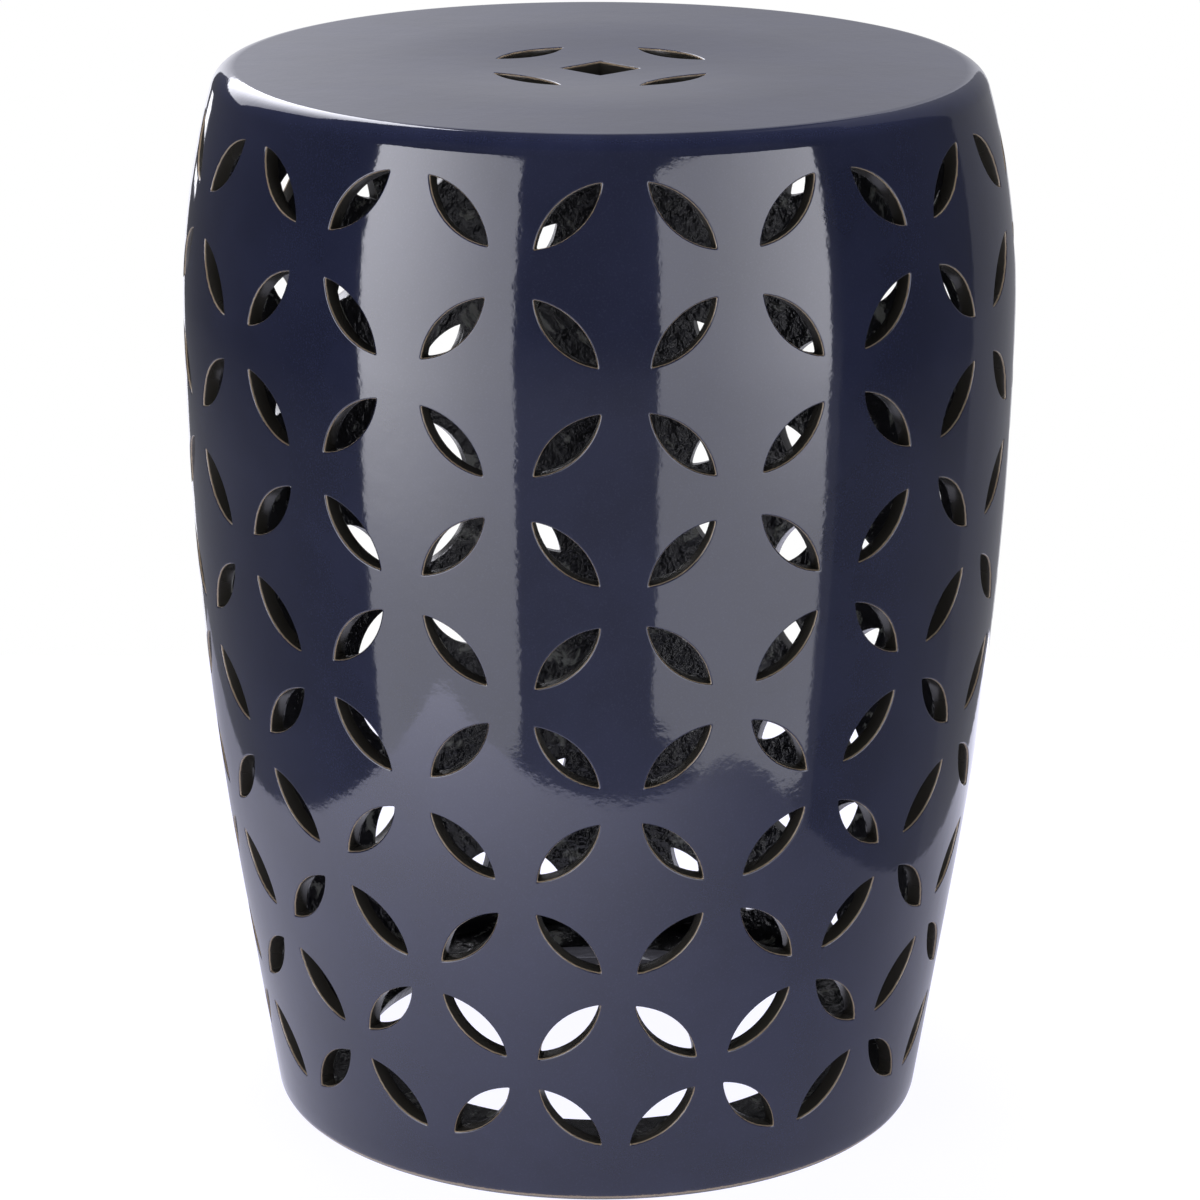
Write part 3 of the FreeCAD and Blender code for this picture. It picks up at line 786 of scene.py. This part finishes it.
class Finish:
    """A material, and one method that adds a node to it."""

    def __init__(self, name, tree=None):
        if tree is None:
            self.material = bpy.data.materials.new(name)
            self.material.use_nodes = True
            tree = self.material.node_tree
        self.tree = tree
        self.tree.nodes.clear()
        self.places = None

    def add(self, kind, settings=None, sockets=None, output=0):
        """A new node with its settings, and with a value or a wire on each socket."""
        node = self.tree.nodes.new(kind)
        for name, value in (settings or {}).items():
            setattr(node, name, value)
        for key, value in (sockets or {}).items():
            if isinstance(value, Wire):
                self.tree.links.new(value.socket, node.inputs[key])
            else:
                node.inputs[key].default_value = value
        return Wire(self, node.outputs[output]) if node.outputs else None

    def place(self):
        """The point on the object, in metres."""
        if self.places is None:
            self.places = self.add("ShaderNodeTexCoord", output="Object")
        return self.places

    def grain(self, scale, detail=2.0, roughness=0.5, distortion=0.0):
        """Noise from 0 to 1 with scale features to the metre."""
        sockets = {"Vector": self.place(), "Scale": scale, "Detail": detail}
        sockets |= {"Roughness": roughness, "Distortion": distortion}
        return self.add("ShaderNodeTexNoise", None, sockets)

    def blend(self, mask, first, second):
        """First colour where the mask is 0, second where it is 1."""
        sockets = {0: mask}
        for index, colour in ((6, first), (7, second)):
            sockets[index] = colour if isinstance(colour, Wire) else (*colour, 1.0)
        return self.add("ShaderNodeMix", {"data_type": "RGBA"}, sockets, output=2)

    def surface(self, colour, roughness, height, **plain):
        """The shader itself: what varies is linked, what is plain is set."""
        sockets = {"Base Color": colour, "Roughness": roughness}
        bump = self.add("ShaderNodeBump", None, {"Strength": 1.0, "Distance": 1.0, "Height": height})
        sockets["Normal"] = bump
        sockets |= {name.replace("_", " "): value for name, value in plain.items()}
        shader = self.add("ShaderNodeBsdfPrincipled", None, sockets)
        self.add("ShaderNodeOutputMaterial", None, {"Surface": shader})
        return self.material


print("wires are ready")

# %% [markdown]
# ## The navy glaze
# The glaze is a clear, glossy, slightly wavy glass over a deep blue, with fine specks.
# It breaks to tan on every lip, the cut clay behind the lip is dark, and the inside has
# a dark, lumpy wash with painted light and shade on it. The foot stands on bare clay.

# %% Colours of the clay and the glaze
NAVY = (0.0115, 0.0145, 0.0400)
NAVY_DEEP = (0.0085, 0.0110, 0.0320)
NAVY_SPECK = (0.020, 0.024, 0.055)
TAN = (0.26, 0.20, 0.14)
CUT_CLAY = (0.025, 0.023, 0.020)
# Painted light and shade inside: the next two colours stand for the shaded and the lit places of one
# dark wash.
INSIDE_DARK = (0.007, 0.007, 0.010)
INSIDE_PAINTED_LIGHT = (0.260, 0.268, 0.245)
BARE_CLAY = (0.42, 0.34, 0.26)


# %% Where one finish gives way to the next, and how rough each is
LIP_BAND = (0.20, 0.36)  # millimetres below the skin
CUT_BAND = (0.75, 1.10)
INSIDE_BAND = (6.2, 6.9)
FOOT_BAND = (0.0004, 0.0010)  # metres above the floor
# The patch band and grain shape the patches of painted light inside; mottle and specks are the glaze's
# own.
LIGHT_PATCH_BAND, MOTTLE_BAND, SPECK_BAND = (0.56, 0.66), (0.35, 0.65), (0.52, 0.72)
LIP_FRAY, CUT_FRAY, FOOT_FRAY = 0.35, 0.5, 0.0006
EDGE_GRAIN, LIGHT_PATCH_GRAIN, MOTTLE_GRAIN, SPECK_GRAIN = 420.0, 75.0, 22.0, 1400.0
SLOW_GRAIN, QUICK_GRAIN, FRET_GRAIN, LUMP_GRAIN = 45.0, 150.0, 520.0, 130.0
SLOW_WAVE, QUICK_WAVE, FRET, LUMP = 0.00007, 0.000034, 0.000014, 0.0022
SPECK_SHARE = 0.5
GLAZE_IOR = 1.55
GLOSS, LIP_MATT, CUT_MATT, INSIDE_SHEEN, CLAY_MATT = 0.055, 0.25, 0.20, 0.12, 0.55
print("the lip is bare from", *LIP_BAND, "mm, the cut starts at", *CUT_BAND, "mm")


# %% Build the navy glaze
def inner_colour_with_painted_light(f):
    """Dark wash with grey patches: the grey is painted light, pools let in through the holes, and the
    near-black between them is the wash in painted shade.
    """
    # Painted light: grey pools where light comes in through the holes, with painted shade between
    # them.
    patches = f.grain(LIGHT_PATCH_GRAIN, 4.0, 0.6, 0.5).over(*LIGHT_PATCH_BAND)
    return f.blend(patches, INSIDE_DARK, INSIDE_PAINTED_LIGHT)


def navy_glaze():
    """Glaze, lip, cut clay, inside and bare foot, told apart by depth and height."""
    f = Finish("navy_glaze")
    depth = f.add("ShaderNodeAttribute", {"attribute_name": "depth"}, output="Fac")
    ragged = f.grain(EDGE_GRAIN, 3.0) - 0.5
    cut = (depth + ragged * CUT_FRAY).over(*CUT_BAND)
    lip = (depth + ragged * LIP_FRAY).over(*LIP_BAND) * (1 - cut)
    inside = depth.over(*INSIDE_BAND)
    mottle = f.grain(MOTTLE_GRAIN, 4.0, 0.6).over(*MOTTLE_BAND)
    speck = f.grain(SPECK_GRAIN, 2.0).over(*SPECK_BAND)
    colour = f.blend(mottle, NAVY, NAVY_DEEP)
    colour = f.blend(speck * SPECK_SHARE, colour, NAVY_SPECK)
    colour = f.blend(lip, colour, TAN)
    colour = f.blend(cut, colour, CUT_CLAY)
    colour = f.blend(inside, colour, inner_colour_with_painted_light(f))
    height_above_floor = f.add("ShaderNodeSeparateXYZ", None, {0: f.place()}, output=2)
    bare = 1 - (height_above_floor + ragged * FOOT_FRAY).over(*FOOT_BAND)
    colour = f.blend(bare, colour, BARE_CLAY)
    roughness = GLOSS + lip * LIP_MATT + cut * CUT_MATT - inside * INSIDE_SHEEN + bare * CLAY_MATT
    slow = (f.grain(SLOW_GRAIN, 1.0) - 0.5) * SLOW_WAVE
    quick = (f.grain(QUICK_GRAIN, 2.0) - 0.5) * QUICK_WAVE
    fret = (f.grain(FRET_GRAIN, 3.0) - 0.5) * FRET
    lumps = (f.grain(LUMP_GRAIN, 3.0, 0.6) - 0.5) * LUMP
    return f.surface(colour, roughness, slow + quick + fret + lumps * inside, IOR=GLAZE_IOR)


glaze = navy_glaze()
print("navy glaze:", len(glaze.node_tree.nodes), "nodes")


# %% Build the dark inner wash
UNDERSIDE_BAND = (SHELF - 0.0002, SHELF + 0.0004)
WASH_LUMP, WASH_GRAIN, WASH_FRAY = 0.0012, 160.0, 0.002
WASH_ROUGHNESS, WASH_MATT, WASH_IOR = 0.25, 0.5, 1.5


def inner_wash():
    """The inner colour with its painted light and shade all over, but for bare clay on the underside.
    """
    f = Finish("inner_wash")
    patches = f.grain(SLOW_GRAIN, 4.0, 0.6)
    up = f.add("ShaderNodeSeparateXYZ", None, {0: f.place()}, output=2)
    under = 1 - (up + (patches - 0.5) * WASH_FRAY).over(*UNDERSIDE_BAND)
    colour = f.blend(under, inner_colour_with_painted_light(f), BARE_CLAY)
    roughness = under * WASH_MATT + WASH_ROUGHNESS
    height = (f.grain(WASH_GRAIN, 3.0, 0.6) - 0.5) * WASH_LUMP
    return f.surface(colour, roughness, height, IOR=WASH_IOR)


wash = inner_wash()
print("inner wash:", len(wash.node_tree.nodes), "nodes")

# %% Dress the pieces
DRESSED = [
    (wall, glaze, "barrel_wall", "navy_glaze"),
    (seat, glaze, "seat_slab", "navy_glaze"),
    (ledge, wash, "base_ledge", "inner_glaze"),
    (base_coil, wash, "base_luting_coil", "inner_glaze"),
    (seat_coil, wash, "seat_luting_coil", "inner_glaze"),
]
for piece, material, node, slot in DRESSED:
    piece.data.materials.clear()
    piece.data.materials.append(material)
    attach(piece, "root")
    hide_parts(node)
    print(piece.name, "stands for", node)

# %% [markdown]
# ## The studio
# The stool stands on a small pale table top. What gloss shows is the room, so the room
# is built as sheets that only gloss can see: two tall soft boxes left and right of the
# camera, one high behind on the left with a short strip under it, a dim wall behind on
# the right, a pale backdrop, and darkness between them. The lamps that light the colours
# are apart from them, so each can be set alone: the sheets for the shine, the lamps for
# the level.


# %% Sheets of the studio
def stage_sheet(name, corners):
    """A flat sheet through four corners, as part of the studio."""
    put_down()
    bpy.ops.mesh.primitive_plane_add(size=2.0)
    sheet = bpy.context.object
    sheet.name = name
    for vertex, place in zip(sheet.data.vertices, corners):
        vertex.co = place
    return sheet


def only_in_gloss(sheet):
    """Hide a sheet from everything but shine."""
    sheet.visible_camera = sheet.visible_diffuse = sheet.visible_shadow = False
    sheet.visible_transmission = sheet.visible_volume_scatter = False


STUDIO_WHITE = (1.0, 1.0, 1.08)


def glow(name, strength_of):
    """A finish that glows, with a strength worked out from the place on the sheet."""
    f = Finish(name)
    x, y, z = (f.add("ShaderNodeSeparateXYZ", None, {0: f.place()}, output=axis) for axis in range(3))
    sockets = {"Color": (*STUDIO_WHITE, 1.0), "Strength": strength_of(x, y, z)}
    light = f.add("ShaderNodeEmission", None, sockets)
    f.add("ShaderNodeOutputMaterial", None, {"Surface": light})
    return f.material


TABLE_LEFT, TABLE_RIGHT = -0.425, 0.353
TABLE_FRONT, TABLE_BACK = -0.48, 0.60
TABLE_SKEW = 0.03
TABLE_ROUND_LEFT, TABLE_ROUND_RIGHT = 0.06, 0.12
table = stage_sheet(
    "table_top",
    [
        (TABLE_LEFT, TABLE_FRONT - TABLE_SKEW, 0.0),
        (TABLE_RIGHT, TABLE_FRONT + TABLE_SKEW, 0.0),
        (TABLE_LEFT, TABLE_BACK, 0.0),
        (TABLE_RIGHT, TABLE_BACK, 0.0),
    ],
)


def round_corner(sheet, at_corner, radius):
    """Round the corner of a sheet that passes a test."""
    open_piece(sheet)
    choose(sheet, at_corner)
    bpy.ops.mesh.bevel(offset=radius, segments=5, affect="VERTICES")
    put_down()


round_corner(table, lambda v: v.co.y < 0.0 and v.co.x < 0.0, TABLE_ROUND_LEFT)
round_corner(table, lambda v: v.co.y < 0.0 and v.co.x > TABLE_RIGHT - MERGE, TABLE_ROUND_RIGHT)
print("table top", TABLE_RIGHT - TABLE_LEFT, "by", TABLE_BACK - TABLE_FRONT, "m")


# %% The pale table and the white background
def seen_by(f):
    """What looks: the eye or a clear material, and gloss, each as 0 or 1."""
    eye = f.add("ShaderNodeLightPath", output="Is Camera Ray")
    outputs = eye.socket.node.outputs
    clear, gloss = Wire(f, outputs["Is Transmission Ray"]), Wire(f, outputs["Is Glossy Ray"])
    return eye + clear, gloss


# Painted shadow and light: in gloss the table's glow is dim by the stool, where its shadow falls, and
# grows to the front left, where the lamps' light pools.
TABLE_PAINTED_SHADOW_GLOW = (0.58, 1.3, 5.4)  # shine at the middle, and how it grows outwards
TABLE_OUT = (-0.643, -0.766)  # outwards here is to the front and left
# Painted light: the blue in the table's glowing white stands for light thrown back onto it from the
# navy stool.
TABLE_WHITE_WITH_BLUE_BOUNCE, TABLE_MATT = (1.0, 1.0, 1.2), (0.86, 0.86, 0.86)
# Painted light: to the other pieces the table glows at the first share whether in shadow or not, and
# so lights the stool's inside from below.
TABLE_BOUNCE, TABLE_TO_EYE = 0.6, 0.9
EYE_LIFT = 0.06


def pale_table():
    """White to the eye; to other pieces a glow that lights them, shadow or not; in gloss a glow with
    the stool's shadow and the lamps' light painted in.
    """
    f = Finish("pale_table")
    eye, gloss = seen_by(f)
    x, y = (f.add("ShaderNodeSeparateXYZ", None, {0: f.place()}, output=axis) for axis in range(2))
    out = x * TABLE_OUT[0] + y * TABLE_OUT[1]
    shine = (out * TABLE_PAINTED_SHADOW_GLOW[2] + TABLE_PAINTED_SHADOW_GLOW[1]) * out + TABLE_PAINTED_SHADOW_GLOW[0]
    matt = f.add("ShaderNodeBsdfDiffuse", None, {"Color": (*TABLE_MATT, 1.0)})
    white = {"Color": (*TABLE_WHITE_WITH_BLUE_BOUNCE, 1.0), "Strength": gloss * (shine - 1) + eye * EYE_LIFT + 1}
    bright = f.add("ShaderNodeEmission", None, white)
    glowing = eye * (TABLE_TO_EYE - TABLE_BOUNCE) + gloss * (1.0 - TABLE_BOUNCE) + TABLE_BOUNCE
    mixed = f.add("ShaderNodeMixShader", None, {0: glowing, 1: matt, 2: bright})
    f.add("ShaderNodeOutputMaterial", None, {"Surface": mixed})
    return f.material


table.data.materials.append(pale_table())

FILL = 0.12
world = bpy.data.worlds.new("studio_white")
bpy.context.scene.world = world
world.use_nodes = True
f = Finish("studio_white", world.node_tree)
eye, gloss = seen_by(f)
strength = (eye + gloss) * (1.0 - FILL) + FILL
light = f.add("ShaderNodeBackground", None, {"Color": (1.0, 1.0, 1.0, 1.0), "Strength": strength})
f.add("ShaderNodeOutputWorld", None, {"Surface": light})
print("white for the eye, fill light", FILL)

# %% Cloths round the studio and a ceiling
CLOTH_DISTANCE = 4.5
CLOTH_BOTTOM, CLOTH_TOP = -3.0, 6.0
CLOTH_FLAT = 8.0  # degrees of the curve that one flat of a cloth spans


def hang_cloth(name, start, end, low, high, strength_of):
    """A curved cloth between two angles from the front, seen only in gloss."""
    put_down()
    bpy.ops.mesh.primitive_plane_add(size=2.0)
    cloth = bpy.context.object
    cloth.name = name
    open_piece(cloth, "EDGE")
    choose(cloth, lambda e: abs(e.verts[0].co.x - e.verts[1].co.x) > 1.0, "edges")
    bpy.ops.mesh.subdivide(number_cuts=max(1, round(abs(end - start) / CLOTH_FLAT)))
    bpy.ops.mesh.select_all(action="SELECT")

    def hang(place):
        turn = math.radians(start + (end - start) * (place.x + 1.0) / 2.0)
        return around(CLOTH_DISTANCE, turn, low + (high - low) * (place.y + 1.0) / 2.0)

    place_chosen(cloth, hang)
    put_down()
    cloth.data.materials.append(glow(name, strength_of))
    only_in_gloss(cloth)


SIDE_GLOW, FRONT_GLOW, DIM_GLOW = 0.11, 0.18, 0.28
SIDE_BAND, SIDE_RISE = (-0.6, -1.1), 0.12
FRONT_BAND, FRONT_RISE = (0.2, -0.9), 0.22
BACKDROP_GLOW, BACKDROP_SLOPE, BACKDROP_BOWL, BACKDROP_TOP = 0.505, 0.25, 0.45, 2.9
FRONT_END, DIM_FROM, BACK_FROM, BACK_TO = 67.0, 121.0, 165.0, 197.0


def side_glow(x, y, z):
    """A little brighter low down, where the room's floor is."""
    return z.over(*SIDE_BAND) * SIDE_RISE + SIDE_GLOW


def front_glow(x, y, z):
    """The same, and lighter all over."""
    return z.over(*FRONT_BAND) * FRONT_RISE + FRONT_GLOW


hang_cloth("left_cloth", BACK_TO - 360.0, -FRONT_END, CLOTH_BOTTOM, CLOTH_TOP, side_glow)
hang_cloth("front_cloth", -FRONT_END, FRONT_END, CLOTH_BOTTOM, CLOTH_TOP, front_glow)
hang_cloth("right_cloth", FRONT_END, DIM_FROM, CLOTH_BOTTOM, CLOTH_TOP, side_glow)
hang_cloth("dim_wall", DIM_FROM, BACK_FROM, CLOTH_BOTTOM, CLOTH_TOP, lambda x, y, z: DIM_GLOW)
hang_cloth("back_cloth", BACK_FROM, BACK_TO, BACKDROP_TOP, CLOTH_TOP, lambda x, y, z: SIDE_GLOW)


def backdrop_glow(x, y, z):
    """Brighter towards both ends, and more so on the left."""
    return x * x * BACKDROP_BOWL - x * BACKDROP_SLOPE + BACKDROP_GLOW


hang_cloth("backdrop", BACK_FROM, BACK_TO, CLOTH_BOTTOM, BACKDROP_TOP, backdrop_glow)
reach = CLOTH_DISTANCE * 1.1
ceiling = stage_sheet(
    "ceiling",
    [(x, y, CLOTH_TOP) for y in (-reach, reach) for x in (-reach, reach)],
)
ceiling.data.materials.append(glow("ceiling", lambda x, y, z: SIDE_GLOW))
only_in_gloss(ceiling)
print("cloths and ceiling hang", CLOTH_DISTANCE, "m away")


# %% Soft boxes that only gloss can see
def soft_box(name, turn, distance, sides, levels, strength_of):
    """An upright sheet facing the stool, between two sides and two levels."""
    out = around(1.0, math.radians(turn), 0.0)
    across = Vector((0.0, 0.0, 1.0)).cross(out)
    middle = out * distance
    places = [(side, level) for level in levels for side in sides]
    corners = [middle + across * side + Vector((0.0, 0.0, level)) for side, level in places]
    sheet = stage_sheet(name, corners)

    def strength(x, y, z):
        return strength_of(x * across.x + y * across.y, z)

    sheet.data.materials.append(glow(name, strength))
    only_in_gloss(sheet)
    return sheet


BOX_TURN, BACK_TURN, STRIP_TURN = 45.0, -150.0, -153.0
BOX_DISTANCE, BACK_DISTANCE = 1.5, 2.0
BOX_ROUND = 0.10
BOX_LEVELS = (-0.60, 0.98)
LEFT_SIDES, RIGHT_SIDES = (-0.506, 0.657), (-0.859, 0.432)
BACK_SIDES, BACK_LEVELS = (-0.72, 0.72), (0.95, 2.45)
STRIP_SIDES, STRIP_LEVELS = (-0.10, 0.10), (0.10, 0.26)
BASE_GLOW, STRIP_GLOW = 2.3, 3.0
LEFT_RISE, LEFT_TOP, LEFT_BASE = 3.0, 1.2, 1.1
RIGHT_RISE, RIGHT_BASE = 2.5, 0.75
BACK_RISE, BACK_BASE = 3.0, 2.0


def left_glow(side, level):
    """Brightest at the outer upper corner."""
    rise = level.over(-0.32, 0.10) * LEFT_RISE + level.over(0.10, 0.75) * LEFT_TOP
    outer = side.over(LEFT_SIDES[1], LEFT_SIDES[0])
    return level.over(BOX_LEVELS[0], 0.20) * LEFT_BASE + outer * rise + BASE_GLOW


def right_glow(side, level):
    """The same on its own side, and weaker."""
    outer = side.over(-0.6, 0.6) * level.over(-0.3, 0.25)
    return level.over(-0.5, 0.6) * RIGHT_BASE + outer * RIGHT_RISE + BASE_GLOW


def back_glow(side, level):
    """Brighter towards the middle of the room."""
    return side.over(BACK_SIDES[1], -0.4) * BACK_RISE + BACK_BASE


def strip_glow(side, level):
    """The same all over."""
    return STRIP_GLOW


left_box = soft_box("left_box", -BOX_TURN, BOX_DISTANCE, LEFT_SIDES, BOX_LEVELS, left_glow)
left_middle = -BOX_DISTANCE * math.sin(math.radians(BOX_TURN))
round_corner(left_box, lambda v: v.co.z > 0.0 and v.co.x < left_middle, BOX_ROUND)
soft_box("right_box", BOX_TURN, BOX_DISTANCE, RIGHT_SIDES, BOX_LEVELS, right_glow)
soft_box("back_box", BACK_TURN, BACK_DISTANCE, BACK_SIDES, BACK_LEVELS, back_glow)
soft_box("back_strip", STRIP_TURN, BACK_DISTANCE, STRIP_SIDES, STRIP_LEVELS, strip_glow)
print("four soft boxes")


# %% Lamps for the level of light
def soft_lamp(name, place, target, width, height, power):
    """A rectangular lamp that faces a point and leaves no shine."""
    data = bpy.data.lights.new(name, "AREA")
    data.shape = "RECTANGLE"
    data.size, data.size_y = width, height
    data.energy = power
    lamp = bpy.data.objects.new(name, data)
    bpy.context.scene.collection.objects.link(lamp)
    lamp.location = place
    lamp.rotation_euler = (Vector(target) - Vector(place)).to_track_quat("-Z", "Y").to_euler()
    lamp.visible_camera = lamp.visible_glossy = False


STOOL_MIDDLE = (0.0, 0.0, 0.22)
LAMP_PLACE, TOP_PLACE = Vector((1.1, -1.1, 0.35)), (-0.1, 0.3, 1.9)
LAMP_WIDTH, LAMP_HEIGHT, TOP_SIZE = 1.1, 1.3, 0.9
LEFT_POWER, RIGHT_POWER, TOP_POWER = 16.0, 13.0, 36.0
left_place = LAMP_PLACE * Vector((-1.0, 1.0, 1.0))
soft_lamp("left_lamp", left_place, STOOL_MIDDLE, LAMP_WIDTH, LAMP_HEIGHT, LEFT_POWER)
soft_lamp("right_lamp", LAMP_PLACE, STOOL_MIDDLE, LAMP_WIDTH, LAMP_HEIGHT, RIGHT_POWER)
soft_lamp("top_lamp", TOP_PLACE, STOOL_MIDDLE, TOP_SIZE, TOP_SIZE, TOP_POWER)
print("three soft lamps")

# %% [markdown]
# ## The camera
# A long lens, a little above the stool and tilted down. The place, the tilt and the
# slight roll were worked out from where the rows, the rim and the foot stand in the
# photograph.

# %% The camera
CAMERA_PLACE = Vector((0.0007, -1.8246, 0.7862))
CAMERA_PITCH = math.radians(17.207)
CAMERA_ROLL = math.radians(0.217)
LENS, FILM_WIDTH = 131.7, 36.0
ahead = Vector((0.0, math.cos(CAMERA_PITCH), -math.sin(CAMERA_PITCH)))
level_right = Vector((1.0, 0.0, 0.0))
level_up = level_right.cross(ahead)
right = level_right * math.cos(CAMERA_ROLL) + level_up * math.sin(CAMERA_ROLL)
up = right.cross(ahead)
camera_data = bpy.data.cameras.new("camera")
camera_data.lens = LENS
camera_data.sensor_width = FILM_WIDTH
camera = bpy.data.objects.new("camera", camera_data)
bpy.context.scene.collection.objects.link(camera)
turned = Matrix((right, up, -ahead)).transposed().to_4x4()
camera.matrix_world = Matrix.Translation(CAMERA_PLACE) @ turned
bpy.context.scene.camera = camera
bpy.context.scene.view_settings.view_transform = "Standard"
print("camera", round(CAMERA_PLACE.xy.length, 3), "m away")

# %% The finish: nothing left selected
put_down()
